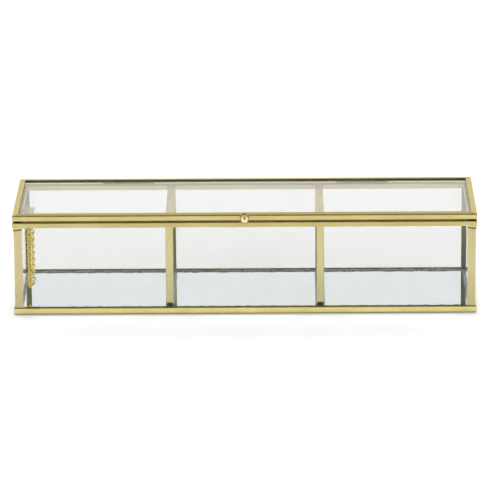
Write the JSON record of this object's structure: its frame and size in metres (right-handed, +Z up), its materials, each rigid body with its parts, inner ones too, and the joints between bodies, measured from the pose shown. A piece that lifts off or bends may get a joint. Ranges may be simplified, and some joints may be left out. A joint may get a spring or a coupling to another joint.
{
  "type": "jewelry box",
  "caption": "Long low glass box with a folded brass frame, mirror floor, glass-walled compartments, a hinged lid with a ball knob and a stay chain.",
  "frame": {"origin": "on the resting plane, at the centre of the closed box's footprint, with the knob and the hinge barrels counted in", "axes": "+X to the right along the long side, +Y to the rear where the hinges are, +Z up"},
  "size_m": [0.29, 0.0924, 0.0658],
  "materials": {
    "frame_brass": "satin plated brass with fine drawn grain",
    "hinge_brass": "aged satin brass",
    "polished_brass": "polished",
    "chain_brass": "bright plated",
    "clear_glass": "clear float glass",
    "mirror_glass": "silvered float glass",
    "backing_board": "matt grey-brown board",
    "clear_silicone": "clear silicone"
  },
  "bodies": {
    "box_body": {"bottom_rail_front": "frame_brass", "bottom_rail_rear": "frame_brass", "bottom_rail_left": "frame_brass", "bottom_rail_right": "frame_brass", "top_rail_front": "frame_brass", "top_rail_rear": "frame_brass", "top_rail_left": "frame_brass", "top_rail_right": "frame_brass", "corner_post_front_left": "frame_brass", "corner_post_front_right": "frame_brass", "corner_post_rear_left": "frame_brass", "corner_post_rear_right": "frame_brass", "left_divider_front_channel": "frame_brass", "left_divider_rear_channel": "frame_brass", "left_divider_top_channel": "frame_brass", "right_divider_front_channel": "frame_brass", "right_divider_rear_channel": "frame_brass", "right_divider_top_channel": "frame_brass", "chain_lug_body": "frame_brass", "front_glass": "clear_glass", "rear_glass": "clear_glass", "left_glass": "clear_glass", "right_glass": "clear_glass", "left_divider_glass": "clear_glass", "right_divider_glass": "clear_glass", "mirror_floor": "mirror_glass", "floor_backing": "backing_board", "left_hinge_body_leaf": "hinge_brass", "left_hinge_pin": "hinge_brass", "right_hinge_body_leaf": "hinge_brass", "right_hinge_pin": "hinge_brass", "lid_bumpers": "clear_silicone", "left_divider_glue": "clear_silicone", "right_divider_glue": "clear_silicone"},
    "lid": {"lid_rail_front": "frame_brass", "lid_rail_rear": "frame_brass", "lid_rail_left": "frame_brass", "lid_rail_right": "frame_brass", "lid_glass": "clear_glass", "lid_knob": "polished_brass", "knob_collar": "polished_brass", "chain_lug_lid": "frame_brass", "left_hinge_lid_leaf": "hinge_brass", "right_hinge_lid_leaf": "hinge_brass"},
    "chain_lower": {"chain_body_strand": "chain_brass"},
    "chain_link": {"chain_ring": "chain_brass"},
    "chain_upper": {"chain_lid_strand": "chain_brass"}
  },
  "joints": [
    {"name": "lid_hinge", "type": "hinge", "parent": "box_body", "child": "lid", "pos_m": [0, 0.04505, 0.06045], "axis": [-1, 0, 0], "range_deg": [0, 110]},
    {"name": "chain_lower_swing", "type": "hinge", "parent": "box_body", "child": "chain_lower", "pos_m": [-0.1365, -0.01145, 0.0559], "axis": [0.9995, -0.0324, -0.0009], "range_deg": [0, 128.87]},
    {"name": "chain_link_swing", "type": "hinge", "parent": "chain_lower", "child": "chain_link", "pos_m": [-0.13654, -0.0114, 0.00991], "axis": [0.7682, 0.6402, 0], "range_deg": [0, 127.69]},
    {"name": "chain_upper_swing", "type": "hinge", "parent": "lid", "child": "chain_upper", "pos_m": [-0.134, -0.01445, 0.059], "axis": [0.9995, 0.0306, 0.0008], "range_deg": [0, 59.01]}
  ],
  "couplings": [
    {"joint": "chain_lower_swing", "follows": "lid_hinge", "ratio": 1.1714},
    {"joint": "chain_link_swing", "follows": "lid_hinge", "ratio": 1.1607},
    {"joint": "chain_upper_swing", "follows": "lid_hinge", "ratio": 0.53629}
  ]
}
